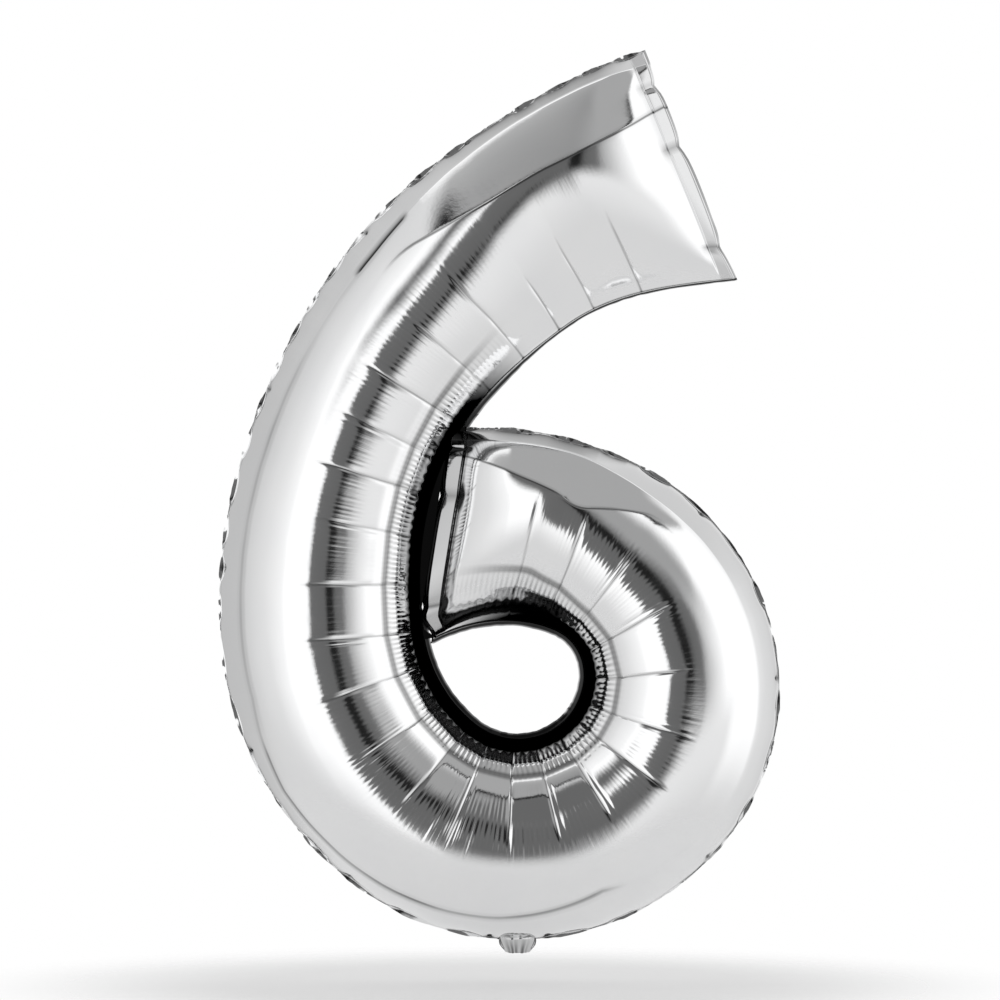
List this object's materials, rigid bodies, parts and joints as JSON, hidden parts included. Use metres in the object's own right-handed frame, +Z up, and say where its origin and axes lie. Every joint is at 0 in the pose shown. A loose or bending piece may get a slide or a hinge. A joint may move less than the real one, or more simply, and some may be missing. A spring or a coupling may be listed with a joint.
{
  "type": "foil number balloon",
  "caption": "Inflated silver foil number balloon in the shape of the figure 6, with a sealed rim, an inner valve and a folding filling neck.",
  "frame": {"origin": "lowest point of the seam between the two panels, where the filling neck leaves the bowl", "axes": "+Z up the standing figure, +X to the right seen from the front, +Y to the back; the seam lies in the plane Y = 0"},
  "size_m": [0.5478, 0.172, 0.8738],
  "materials": {
    "silver_foil": "mirror-bright metallised film, creased",
    "valve_film": "thin translucent film"
  },
  "bodies": {
    "balloon": {"front_panel": "silver_foil", "back_panel": "silver_foil", "valve_front_film": "valve_film", "valve_back_film": "valve_film"},
    "neck": {"neck_front_film": "silver_foil", "neck_back_film": "silver_foil", "neck_valve_front_film": "valve_film", "neck_valve_back_film": "valve_film"}
  },
  "joints": [
    {"name": "neck_fold", "type": "hinge", "parent": "balloon", "child": "neck", "pos_m": [0, 0, -0.015], "axis": [-1, 0, 0], "range_deg": [0, 230]}
  ]
}
